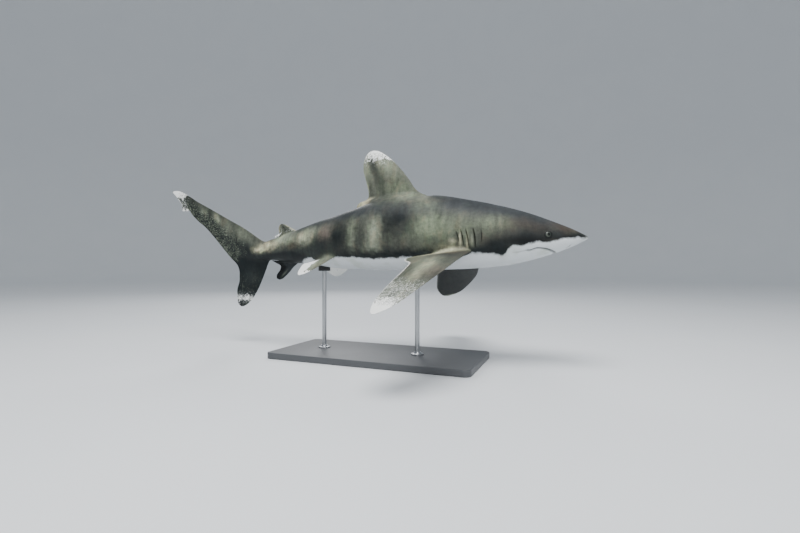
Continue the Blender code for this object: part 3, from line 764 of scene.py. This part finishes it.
coat = {
    # u and z, in thousandths, of the line where the dark back ends and the white belly starts
    "border": [
        (0, -1), (20, -1), (30, -3), (40, -3), (55, -6), (70, -10), (95, -11), (110, -13), (120, -17),
        (133, -17), (142, -22), (147, -29), (155, -35), (170, -33), (200, -30), (212, -30), (245, -39),
        (300, -37), (420, -36), (455, -32), (490, -30), (525, -32), (550, -28), (575, -28), (590, -35),
        (620, -42), (900, -50),
    ],
    # soft spots of paint, later ones over earlier: paint, u, z, reach along and reach up, all in
    # thousandths, and strength
    "markings": {
        "shoulder": [
            ("bronze", 290, -10, 50, 14, 0.5), ("olive", 285, 18, 35, 26, 1),
            ("olive", 235, 28, 30, 30, 0.4), ("olive", 172, 27, 28, 14, 0.95),
            # the dusk spot is a painted shadow over the pectoral fin's root
            ("dusk", 285, -5, 25, 9, 0.5),
        ],
        # partly the skin's own blotches and partly painted caustic shadow
        "saddle under the first dorsal fin, partly painted caustic shade": [
            ("dark", 345, 40, 33, 31, 1), ("dusk", 335, 16, 15, 11, 0.7), ("dark", 368, 5, 8, 38, 0.3),
            ("dusk", 390, 50, 18, 35, 0.45),
        ],
        # partly the skin's own mottling and partly painted caustic light and shadow
        "light and dark bars down the flank, partly painted caustic light": [
            ("pale", 394, 14, 11, 30, 0.85), ("pale", 405, -18, 14, 11, 0.95),
            ("dusk", 424, 0, 9, 25, 0.5), ("pale", 445, 2, 7, 44, 0.5), ("dark", 478, 10, 26, 36, 0.95),
            ("pink", 514, 20, 13, 20, 0.85), ("dark", 530, -5, 34, 22, 1), ("pale", 572, 18, 20, 20, 1),
        ],
        # pale and cream bars beside the gill slits: painted highlights on the flaps' raised edges
        "gills": [
            ("cream", 229, -7, 2, 14, 0.85), ("cream", 216, -13, 2, 13, 0.65),
            ("pale", 207, -9, 3, 12, 0.6), ("cream", 243, -9, 7, 4, 0.6),
            ("cream", 248, -22, 16, 6, 0.7),
        ],
        "crown and back": [
            ("brown", 45, 16, 50, 23, 1), ("brown", 92, 28, 66, 26, 1), ("slate", 165, 57, 80, 19, 1),
            ("slate", 250, 66, 90, 18, 1), ("slate", 440, 62, 75, 16, 0.95), ("pink", 288, 77, 28, 7, 1),
            # the olive spot at 292 is a painted highlight along the back's rim in front of the first dorsal
            # fin
            ("olive", 292, 78, 25, 18, 0.7),
        ],
        # partly the dusky band over the white and partly painted shade along the lower flank; the dusk spot
        # at 600 is painted shade under the tail's root
        "dark edge over the white, partly painted shade": [
            ("dark", 18, 3, 22, 7, 0.9), ("ink", 40, -2, 52, 4, 0.95), ("dark", 60, 4, 20, 7, 0.85),
            ("dark", 110, -2, 38, 17, 1), ("ink", 112, -9, 45, 8, 1), ("ink", 158, -27, 25, 19, 1),
            ("dark", 168, -18, 26, 12, 0.95), ("dark", 195, -26, 30, 6, 1),
            ("dark", 350, -32, 220, 11, 1), ("dark", 510, -26, 160, 16, 0.5),
            ("dusk", 600, -13, 90, 15, 1),
        ],
        # the pale and cream spots along the top are painted highlights where light falls from above; the
        # brown spot is the skin's own
        "root of the tail": [
            ("brown", 610, 3, 20, 9, 0.75), ("pale", 578, 34, 35, 11, 1),
            ("pale", 636, 26, 30, 13, 0.95), ("pale", 658, 21, 22, 9, 0.95),
            ("cream", 574, 22, 20, 12, 0.45), ("cream", 692, 12, 28, 6, 0.95),
            ("cream", 724, 3, 40, 5, 0.85),
        ],
    },
    "otherSide": 0.013,  # how far the left side's markings are out of step with the right side's
    "ragged": 0.0042,  # how far the markings' edges wander behind the gills
    "none": -0.2,  # metres into the white, where there is none of it
}


def linear(paint):
    value = np.array(paints[paint] if isinstance(paint, str) else paint) / 255
    return np.where(value < 0.04045, value / 12.92, ((value + 0.055) / 1.055) ** 2.4)


# A depth into the white, in metres, that holds only inside a mask.
def within(depth, mask):
    return np.where(mask > 0.001, depth * mask + coat["none"] * (1 - mask), coat["none"])


# Moves values towards others by a share.
def toward(values, others, share):
    return values + (others - values) * np.clip(share, 0, 1)


# Waves of four lengths, each one's phase swung by another, which never repeat over the body.
def waver(u, z, length):
    turns = 2 * math.pi / length * np.array([1.0, 2.3, 4.9, 9.7])
    waves = [np.sin(u * k + 2.2 * np.sin(z * k * 1.3 + i) + 1.7 * i) / (i + 1) for i, k in enumerate(turns)]
    return sum(waves) / 2


# Every field that the skin's finish reads, for each vertex: the coat's colour, how far the vertex
# is into the white of the belly or of a fin's tip, in metres, where flecks lie, and the painted shade in
# creases.
def skinFields(points, facts):
    place = straighten(points)
    u, y, z = place.T
    creaseShade, shares = np.clip(facts[:, 0], 0, 1), facts[:, 1:-3]
    total = shares.sum(1)
    out, chord, upper = (facts[:, -3:] / np.maximum(total, 1e-6)[:, None]).T
    on = dict(zip(finKinds, shares.T))
    body = 1 - np.clip(total, 0, 1)
    left = (y > 0) * coat["otherSide"]
    ragged = ease(u, 0.2, 0.3) * coat["ragged"]
    stepU = u + left * np.sin(u * 34) + ragged * waver(z, u, 0.03)
    stepZ = z + left * 0.4 * np.sin(u * 51 + 1) + ragged * waver(u, z, 0.035)
    colours = np.tile(linear("bronze"), (len(u), 1))

    # lays a paint over the colours, by a mask for each vertex
    def lay(paint, mask):
        colours[:] = toward(colours, linear(paint), mask[:, None])

    for paint, *spot, strength in sum(coat["markings"].values(), []):
        middleU, middleZ, reachU, reachZ = perMille(spot)
        mask = bell(stepU, middleU, reachU) * bell(stepZ, middleZ, reachZ)
        lay(paint, strength * mask * (1.25 - 0.25 * mask))

    high = (z - bodyShape(np.clip(u, 0.002, bodyEnd))[1]) * size
    spine = ease(high, -0.08, -0.015) * ease(high, 0.05, 0.015) * ease(u, 0.66, 0.59)
    besideFin = ease(u, 0.285, 0.31) * ease(u, 0.45, 0.42)
    lay("slate", spine * ease(u, 0.03, 0.09) * (0.9 - 0.6 * besideFin))
    lay("pale", bell(z, 0.09, 0.013) * bell(stepU, 0.345, 0.026) * 0.65)
    # painted shade: the lower half of the rear body and the tail's root darkened, as lying in shade
    lay("dark", ease(-z - 0.014 * ease(u, 0.62, 0.56), 0.004, 0.013) * ease(u, 0.54, 0.6) * 0.93)

    belly = (smoothCurve(u, *perMille(coat["border"]).T) - z) * size
    tip = np.full(len(u), coat["none"])
    flecks = np.zeros(len(u))
    specks = np.zeros(len(u))

    mask = on["firstDorsal"]
    fin = mask * ease(z, 0.088, 0.115)
    lay("bronze", fin * 0.75)
    lay("dark", fin * bell(chord, 0.62, 0.12) * ease(z, 0.192, 0.162) * 0.55)
    lay("pale", fin * ease(chord, 0.72, 0.86) * ease(z, 0.12, 0.15) * 0.5)
    lay("pale", fin * bell(chord, 0.32, 0.16) * ease(z, 0.15, 0.172) * 0.7)
    lay("pale", fin * bell(chord, 0.22, 0.22) * ease(z, 0.11, 0.16) * 0.62)
    lay("olive", mask * bell(z, 0.108, 0.016) * bell(chord, 0.3, 0.35) * 0.5)
    lay("cream", mask * ease(chord, 0.76, 0.9) * ease(z, 0.1, 0.09) * 0.8)
    lay("pale", fin * ease(chord, 0.955, 0.985) * 0.8)
    tip = toward(tip, (z - 0.1785 - 0.01 * (chord - 0.5)) * size, mask)
    specks = toward(specks, 0.8 * ease(z, 0.156, 0.18) * ease(z, 0.196, 0.186), mask)

    mask = on["secondDorsal"]
    fin = mask * ease(z, 0.028, 0.036)
    lay("bronze", fin * 0.9)
    lay("pale", fin * 0.2)
    lay("ink", fin * bell(chord, 0.42, 0.14) * ease(z, 0.034, 0.046) * 0.75)
    lay("cream", fin * ease(np.abs(chord - 0.5), 0.38, 0.47) * ease(z, 0.038, 0.044) * 0.7)
    lay("dusk", fin * bell(chord, 0.15, 0.1) * 0.5)
    tip = toward(tip, within((0.0024 - np.abs(z - 0.033)) * size, ease(chord, 0.5, 0.7)), mask)
    specks = toward(specks, 0.3, mask)

    mask = on["anal"]
    fin = mask * ease(z, -0.024, -0.032)
    lay("dark", fin)
    lay("slate", fin * ease(chord, 0.6, 0.35) * ease(z, -0.067, -0.055) * 0.8)
    lay("ink", fin * ease(chord, 0.4, 0.65))
    lay("pale", fin * bell(chord, 0.33, 0.06) * bell(z, -0.056, 0.007) * 0.4)

    mask = on["upperCaudal"]
    fin = mask * ease(u, 0.738, 0.765)
    lay("dusk", fin * 0.95)
    lay("bronze", fin * bell(chord, 0.14, 0.2) * (0.75 - 0.45 * ease(u, 0.82, 0.87)))
    lay("pale", mask * bell(u, 0.782, 0.03) * bell(chord, 0.14, 0.18) * 0.4)
    lay("bronze", mask * bell(u, 0.9, 0.03) * bell(chord, 0.1, 0.16) * 0.5)
    lay("dark", fin * (0.2 + 0.68 * ease(chord, 0.3, 0.62)))
    lay("pale", mask * bell(u, 0.832, 0.014) * bell(chord, 0.2, 0.2) * 0.25)
    lay("pale", mask * bell(u, 0.857, 0.009) * bell(chord, 0.19, 0.13) * 0.9)
    lay("pale", mask * bell(u, 0.896, 0.01) * bell(chord, 0.28, 0.16) * 0.25)
    flecks = toward(flecks, ease(u, 0.755, 0.81) * ease(chord, 0.05, 0.5), mask)
    lobe = within((chord - 0.93) * 0.06, ease(u, 0.938, 0.944))
    tip = toward(tip, np.maximum((u - 0.962 + 0.034 * (0.5 - chord)) * size, lobe), mask)
    specks = toward(specks, 0.7 * ease(u, 0.93, 0.955) * ease(u, 0.975, 0.962), mask)

    mask = on["lowerCaudal"]
    lay("dark", mask * ease(z, 0, -0.012) * 0.97)
    lay("dusk", mask * ease(z, 0, -0.012) * bell(z, -0.06, 0.018) * bell(chord, 0.45, 0.25) * 0.5)
    lay("dark", mask * ease(z, -0.126, -0.132))
    # painted shade: slate under the lower lobe's white band greys it
    lay("slate", mask * bell(z, -0.1145, 0.01) * 0.8)
    tip = toward(tip, (0.003 - np.abs(z + 0.115)) * size, mask)
    flecks = toward(flecks, ease(z, -0.03, -0.08) * 0.25, mask)
    specks = toward(specks, 0.95 * bell(z, -0.115, 0.014), mask)

    # the near edge of a pectoral's white leans back towards its front
    mask = on["pectoral"]
    top = ease(upper, -0.3, 0.3)
    skew = out + 0.24 * chord
    fin = mask * ease(out, 0.02, 0.12)
    lay("bronze", fin * 0.85)
    lay("brown", fin * bell(out, 0.32, 0.13) * bell(chord, 0.34, 0.42) * 0.8)
    lay("slate", fin * bell(skew, 0.44, 0.12) * bell(chord, 0.3, 0.26) * 0.65)
    lay("pale", fin * bell(skew, 0.6, 0.15) * bell(chord, 0.58, 0.26) * top * 0.8)
    lay("cream", fin * bell(skew, 0.69, 0.09) * bell(chord, 0.53, 0.15) * top * 0.4)
    # painted highlight along the top of each pectoral fin's root, where light falls on it
    lay("cream", mask * bell(out, 0.13, 0.07) * bell(chord, 0.55, 0.33) * top * 0.9)
    lay("olive", mask * ease(chord, 0.8, 0.95) * bell(out, 0.13, 0.06) * top * 0.7)
    lay("pink", fin * bell(skew, 0.66, 0.06) * bell(chord, 0.25, 0.25) * top * 0.5)
    lay("pale", fin * ease(skew, 0.7, 0.9) * top * 0.6)
    # painted shade: the pectoral fins' undersides darkened, over their own dusky tone
    lay("dark", fin * (1 - top) * 0.88)
    lay("white", fin * ease(chord, 0.97, 0.986) * ease(out, 0.16, 0.24) * (0.3 + 0.7 * top))
    lay("pale", fin * ease(out + 0.05 * chord, 0.935, 0.965) * (1 - top) * 0.6)
    tip = toward(tip, np.where(top > 0.5, (skew - 0.925) * 0.24 * size, coat["none"]), mask)
    specks = toward(specks, ease(skew, 0.7, 0.84) * ease(skew, 1.03, 0.95) * top, mask)
    under = (1 - top) * 0.06 * ease(out, 0.3, 0.1)
    belly = toward(belly, np.minimum(belly, 0.02) - ease(out, 0.02, 0.14) * 0.1 + under, mask)

    mask = on["pelvic"]
    fin = mask * ease(out, 0.02, 0.25)
    lay("bronze", fin * 0.6)
    lay("pale", fin * bell(chord, 0.3, 0.32) * 0.45)
    lay("pale", fin * bell(chord, 0.4, 0.14) * bell(out, 0.62, 0.2) * 0.5)
    white = np.maximum((out - 0.86 + 0.1 * chord) * 0.057 * size, (chord - 0.5) * 0.1)
    tip = toward(tip, np.where(upper < 0, 0.01, within(white, ease(out, 0.18, 0.32))), mask)
    specks = toward(specks, 0.12, mask)
    belly = toward(belly, np.minimum(belly, 0.0) - 0.05 * ease(out, 0.0, 0.2), mask * top)

    other = np.clip(total - on["pectoral"] - on["pelvic"], 0, 1)
    belly = belly - 0.4 * ease(np.abs(out), 0.04, 0.2) * other
    # painted shade darkens the insides of creases and openings
    lay("ink", creaseShade * 0.8)
    fromEye = np.hypot(u - eye["middle"][0], (z - eye["middle"][1]) * 1.15) * size
    lay("ink", body * bell(fromEye, 0.013, 0.004) * 0.8)
    belly = belly - 0.02 * body * bell(fromEye, 0.0, 0.02)
    return {"place": place * size, "coat": colours, "belly": belly, "tip": tip, "flecks": flecks,
            "specks": specks, "creaseShade": creaseShade}


def writeFields(mesh, fields):
    for name, values in fields.items():
        kind, entry = ("FLOAT", "value") if values.ndim == 1 else ("FLOAT_VECTOR", "vector")
        attribute = mesh.attributes.new(name, kind, "POINT")
        attribute.data.foreach_set(entry, values.astype(np.float32).ravel())


# The finishes.

# Wraps a socket, so that an expression on values adds its Math nodes.
class Value:
    def __init__(self, finish, socket):
        self.finish, self.socket = finish, socket

    def reckon(self, operation, first, second):
        return self.finish.node("ShaderNodeMath", {"operation": operation}, {0: first, 1: second})

    def __add__(self, other):
        return self.reckon("ADD", self, other)

    def __sub__(self, other):
        return self.reckon("SUBTRACT", self, other)

    def __rsub__(self, other):
        return self.reckon("SUBTRACT", other, self)

    def __mul__(self, other):
        return self.reckon("MULTIPLY", self, other)

    __radd__ = __add__
    __rmul__ = __mul__


# A material and its nodes. Each method adds nodes and gives back the value that comes out.
class Finish:
    def __init__(self, name, **shader):
        self.material = bpy.data.materials.new(name)
        self.material.use_nodes = True
        self.nodes = self.material.node_tree.nodes
        self.shader = self.nodes["Principled BSDF"]
        self.set(**shader)

    def join(self, socket, value):
        if isinstance(value, Value):
            self.material.node_tree.links.new(value.socket, socket)
        else:
            socket.default_value = value

    def set(self, **sockets):
        for name, value in sockets.items():
            self.join(self.shader.inputs[name.replace("_", " ").title().replace("Ior", "IOR")], value)

    def node(self, kind, settings, sockets, out=0):
        made = self.nodes.new(kind)
        for name, value in settings.items():
            setattr(made, name, value)
        for name, value in sockets.items():
            self.join(made.inputs[name], value)
        return Value(self, made.outputs[out])

    def field(self, name, out="Fac"):
        return self.node("ShaderNodeAttribute", {"attribute_name": name}, {}, out)

    def where(self):
        return self.node("ShaderNodeTexCoord", {}, {}, "Object")

    def noise(self, at, scale, detail=2.0, roughness=0.5, stretch=None, distortion=0.0):
        at = self.tint(at, stretch) if stretch else at
        sockets = {"Vector": at, "Scale": scale, "Detail": detail, "Roughness": roughness}
        return self.node("ShaderNodeTexNoise", {}, {**sockets, "Distortion": distortion})

    def cells(self, at, scale):
        return self.node("ShaderNodeTexVoronoi", {}, {"Vector": at, "Scale": scale})

    # 0 below low and 1 above high, easing between them
    def step(self, value, low, high):
        sockets = {"Value": value, "From Min": low, "From Max": high}
        return self.node("ShaderNodeMapRange", {"interpolation_type": "SMOOTHSTEP"}, sockets)

    def mix(self, factor, first, second):
        first, second = (v if isinstance(v, Value) else (*linear(v), 1) for v in (first, second))
        return self.node("ShaderNodeMix", {"data_type": "RGBA"}, {0: factor, 6: first, 7: second}, 2)

    # multiplies a colour or a place by another, channel by channel
    def tint(self, colour, other):
        return self.node("ShaderNodeVectorMath", {"operation": "MULTIPLY"}, {0: colour, 1: other})

    # multiplies a colour's brightness by a value
    def shade(self, colour, value):
        return self.node("ShaderNodeVectorMath", {"operation": "SCALE"}, {0: colour, "Scale": value})

    def bump(self, height, distance, strength):
        sockets = {"Height": height, "Distance": distance, "Strength": strength}
        return self.node("ShaderNodeBump", {}, sockets)


def skinFinish():
    f = Finish("sharkSkin", specular_ior_level=0.18)
    place, belly, tip = f.field("place", "Vector"), f.field("belly"), f.field("tip")
    coat, flecks, specks = f.field("coat", "Vector"), f.field("flecks"), f.field("specks")
    broad = f.noise(place, 9.0, 3.0, stretch=(1.0, 0.6, 0.45))
    # upright streaks of painted caustic light; the other noises are the skin's own mottling
    causticStreaks = f.noise(place, 42.0, 3.0, 0.6, stretch=(1.0, 0.3, 0.16))
    mottle = f.noise(place, 75.0, 4.0, 0.65)
    grain = f.noise(place, 420.0, 3.0, 0.7)
    blotch = f.noise(place, 26.0, 4.0, 0.6, stretch=(1.0, 0.7, 0.55), distortion=0.4)
    light = broad * 0.6 + causticStreaks * 0.8 + mottle * 0.85 + grain * 0.34 + blotch * 0.8 - 0.97
    warm = f.mix(f.step(blotch, 0.48, 0.64) * 0.6, coat, f.tint(coat, (1.14, 0.98, 0.9)))
    clouds = f.step(f.noise(place, 19.0, 3.0, 0.6), 0.5, 0.66)
    green = f.mix(clouds * 0.5, warm, f.tint(coat, (1.2, 1.29, 1.13)))
    colour = f.shade(green, light)

    # small dark spots here and there on the back
    spots = f.step(f.cells(place, 15.0) + grain * 0.03, 0.045, 0.075)
    rare = f.step(f.noise(place, 6.0, 1.0), 0.5, 0.58)
    colour = f.shade(colour, 1 - (1 - spots) * rare * 0.55)

    # pale flecks, a few millimetres across and crowded towards the rear edges of the tail
    clumps = f.noise(place, 30.0, 3.0, 0.6)
    fleck = f.step(f.noise(place, 215.0, 3.0, 0.6) + flecks * 0.1 + clumps * 0.22, 0.735, 0.8)
    colour = f.mix(fleck * f.step(flecks, 0.05, 0.3) * 0.45, colour, "pale")

    # the white of the belly, whose border wanders
    edge = f.noise(place, 24.0, 4.0, 0.6, stretch=(1.0, 0.8, 0.8))
    white = f.step(belly + (edge - 0.5) * 0.032, -0.0055, 0.007)
    cloud = f.noise(place, 13.0, 3.0)
    colour = f.mix(white, colour, f.mix(f.step(cloud, 0.5, 0.72) * 0.35, "belly", "pale"))

    # the white of the fins' tips: blurred and broken at its border, with dark specks inside
    wander = f.noise(place, 55.0, 4.0, 0.62, distortion=0.6)
    tipWhite = f.step(tip + (wander - 0.5) * (0.045 + specks * 0.13), -0.0035, 0.0045)
    colour = f.mix(tipWhite, colour, "white")
    worms = f.noise(place, 120.0, 2.0, 0.5, distortion=1.8)
    inSpecks = f.step(specks, 0.05, 0.3)
    speck = f.step(worms + specks * 0.16, 0.635, 0.69)
    glint = f.step(f.noise(place, 135.0, 3.0, 0.55, distortion=1.0) + specks * 0.2, 0.66, 0.74)
    colour = f.mix(glint * inSpecks * 0.5, colour, "white")
    colour = f.mix(speck * inSpecks * 0.65, colour, "dusk")

    # painted shade: creases and openings are darkened inside
    f.set(base_color=f.shade(colour, 1 - f.field("creaseShade") * 0.75))
    f.set(roughness=0.46 + mottle * 0.16 + white * 0.04)
    f.set(normal=f.bump(grain * 0.45 + mottle * 0.55, 0.0011, 0.55))
    return f.material


def eyeFinish():
    f = Finish("sharkEye", roughness=0.3, coat_weight=0.08, coat_roughness=0.06, specular_ior_level=0.15)
    radial = f.field("radial")
    fibres = f.noise(f.field("turn", "Vector"), 7.0, 3.0, 0.6)
    pupil = 1 - f.step(f.field("pupil"), 0.93, 1.04)
    rim = f.step(radial + fibres * 0.001, 0.0114, 0.0128)
    iris = f.mix(fibres, (92, 98, 90), (52, 58, 52))
    iris = f.mix(f.step(radial, 0.008, 0.0114) * 0.7, iris, (36, 40, 37))
    # painted shade: the iris darker towards its front, as if lit from behind
    iris = f.mix(f.step(f.field("ahead"), -0.3, 0.8) * 0.7, iris, (26, 31, 31))
    f.set(base_color=f.mix(pupil, f.mix(rim, iris, (16, 18, 18)), (3, 4, 5)))
    return f.material


def metalFinish(name, shade, roughness, scale):
    f = Finish(name, metallic=1.0)
    at = f.where()
    brushed = f.noise(at, 900.0, 3.0, 0.6, stretch=scale)
    smear = f.noise(at, 14.0, 3.0)
    f.set(base_color=f.shade(f.mix(smear, shade, tuple(s * 0.93 for s in shade)), 0.92 + brushed * 0.16))
    f.set(roughness=roughness + brushed * 0.16 + smear * 0.05, normal=f.bump(brushed, 0.00012, 0.5))
    return f.material


def baseFinish():
    f = Finish("baseEnamel", coat_weight=0.15, coat_roughness=0.25)
    at = f.where()
    peel = f.noise(at, 260.0, 2.0)
    smear = f.noise(at, 5.0, 4.0, 0.6)
    dust = f.noise(at, 700.0, 2.0, 0.6)
    colour = f.mix(smear, (66, 68, 71), (76, 78, 81))
    colour = f.mix(f.step(dust, 0.66, 0.74) * 0.25, colour, (112, 112, 110))
    f.set(base_color=colour, roughness=0.4 + smear * 0.16, normal=f.bump(peel, 0.0004, 0.35))
    return f.material


def rubberFinish():
    f = Finish("padRubber")
    at = f.where()
    mould = f.noise(at, 340.0, 3.0, 0.6)
    bloom = f.noise(at, 30.0, 4.0, 0.6)
    colour = f.mix(f.step(bloom, 0.45, 0.75), (34, 34, 35), (56, 56, 55))
    f.set(base_color=colour, roughness=0.68 + bloom * 0.14, normal=f.bump(mould, 0.0005, 0.5))
    return f.material


# The eyes.

# Points on a ball round the outward direction: rings at growing angles from it, close together
# over the iris. The cornea stands a little proud of the ball.
def makeEye(name, side, finish):
    u, y, z = eye["place"]
    centre = bend(np.array([[u, side * y, z]]))[0]
    out = unit(bend(sidePoint(*eye["middle"], side)) - centre)
    forward = bend(sidePoint(u - 0.004, z, side)) - bend(sidePoint(u + 0.004, z, side))
    level = unit(forward - out * (forward @ out))
    up = np.cross(out, level)
    up = up * np.sign(up[2])
    swing = math.pi * np.linspace(0, 1, 49)[1:-1] ** 1.5
    turn = np.linspace(0, 2 * math.pi, 64, endpoint=False)
    swing, turn = np.meshgrid(swing, turn, indexing="ij")
    radius = eye["radius"] + eye["cornea"] * bell(swing, 0.0, 0.38)
    across = radius * np.sin(swing)
    ahead, above = np.cos(turn), np.sin(turn)
    parts = np.stack([radius * np.cos(swing), across * ahead, across * above], -1)
    ends = [[eye["radius"] + eye["cornea"], 0, 0], [-eye["radius"], 0, 0]]
    vertices = centre + np.concatenate([parts.reshape(-1, 3), ends]) @ np.stack([out, level, up])
    mesh = newMesh(name, vertices, outward(vertices, closedFaces(*turn.shape)))
    width, height = eye["pupil"]
    inPupil = np.hypot(across * ahead / width, across * above / height)
    ring = np.stack([ahead, above, 12 * across], -1).reshape(-1, 3)
    front = swing < 1.5
    writeFields(mesh, {"radial": np.append(np.where(front, across, 0.03), [0, 0.03]),
                       "turn": np.concatenate([ring, ring[:1] * 0, ring[-1:]]),
                       "pupil": np.append(np.where(front, inPupil, 9), [0, 9]),
                       "ahead": np.append(ahead, [0, 0])})
    mesh.shade_smooth()
    mesh.materials.append(finish)
    return newObject(name, mesh)


# The studio.

studio = {
    "sky": 0.75,
    "floorTurns": 96,
    "floorDrop": 0.0004,  # keeps the floor clear of the stand's underside
    # name, place, target, size, power in watts
    "lights": [
        ("overhead", (0.5, -1.6, 4.4), (0.0, 0.0, 0.5), 2.4, 235),
        ("side", (2.6, -4.6, 2.8), (0.0, 0.0, 0.5), 2.2, 145),
        ("behind", (-2.6, 3.9, 3.2), (0.0, 0.0, 0.6), 1.8, 80),
    ],
}

camera = {"place": (0.8957, -1.9393, 0.4429), "turn": 22.0, "lens": 19.82}


# The floor is a profile turned round the vertical: flat, then curving up into a wall.
def makeFloor():
    profile = [(r, 0) for r in (1, 3, 6, 10, 13)]
    profile += [(13 + 5 * math.sin(a), 5 - 5 * math.cos(a)) for a in np.linspace(0.1, math.pi / 2, 12)]
    reach, height = np.array(profile + [(18, 9), (17, 14)]).T
    count = studio["floorTurns"]
    turn = np.linspace(0, 2 * math.pi, count, endpoint=False)
    rings = np.stack([np.outer(reach, np.cos(turn)), np.outer(reach, np.sin(turn)),
                      np.outer(height, np.ones(count))], -1)
    vertices = np.concatenate([rings.reshape(-1, 3), [[0, 0, 0]]]) - [0, 0, studio["floorDrop"]]
    faces = [f[::-1] for f in gridFaces(len(reach), count)] + fan(len(vertices) - 1, 0, count)
    mesh = newMesh("floor", vertices, faces)
    mesh.shade_smooth()
    f = Finish("floorPaper", roughness=0.75, specular_ior_level=0.2)
    f.set(base_color=f.mix(f.noise(f.where(), 1.3, 3.0), (214, 217, 220), (219, 221, 223)))
    mesh.materials.append(f.material)
    newObject("floor", mesh)


def makeSky():
    world = bpy.data.worlds.new("studio")
    bpy.context.scene.world = world
    world.use_nodes = True
    background = world.node_tree.nodes["Background"].inputs
    background["Color"].default_value = (0.9, 0.95, 1.0, 1)
    background["Strength"].default_value = studio["sky"]


def makeLight(name, place, target, width, power):
    light = bpy.data.lights.new(name, "AREA")
    light.shape, light.size, light.energy = "DISK", width, power
    obj = newObject(name, light)
    obj.location = place
    obj.rotation_euler = (Vector(target) - Vector(place)).to_track_quat("-Z", "Y").to_euler()
    obj.visible_camera = False


def makeCamera():
    data = bpy.data.cameras.new("camera")
    data.lens, data.sensor_width = camera["lens"], 36.0
    data.clip_start, data.clip_end = 0.05, 100
    obj = newObject("camera", data)
    obj.location = camera["place"]
    obj.rotation_euler = (math.radians(90), 0, math.radians(camera["turn"]))
    bpy.context.scene.camera = obj


# The model is put together.

mesh, points, facts = buildSkin()
writeFields(mesh, skinFields(points, facts))
mesh.shade_smooth()
mesh.materials.clear()
mesh.materials.append(skinFinish())
hide = newObject("sharkSkin", mesh)
fleshNodes = [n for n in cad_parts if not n.startswith(("stand_", "eye_"))]
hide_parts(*fleshNodes)
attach(hide, "root")

eyeMaterial = eyeFinish()
for side, name in zip(bothSides, ("left", "right")):
    ball = makeEye(f"eyeball{name.title()}", side, eyeMaterial)
    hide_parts(f"eye_{name}")
    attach(ball, "root")
print("eyes made")

standFinishes = {
    "stand_base": baseFinish(),
    "stand_rod": metalFinish("rodSteel", (186, 188, 190), 0.22, (1.0, 1.0, 0.03)),
    "stand_collar": metalFinish("collarSteel", (178, 180, 183), 0.24, (0.25, 0.25, 1.0)),
    "stand_pad": rubberFinish(),
}
for name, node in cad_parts.items():
    for start, finish in standFinishes.items():
        if name.startswith(start):
            node.data.materials.clear()
            node.data.materials.append(finish)
print("finishes laid")

makeFloor()
makeSky()
for light in studio["lights"]:
    makeLight(*light)
makeCamera()
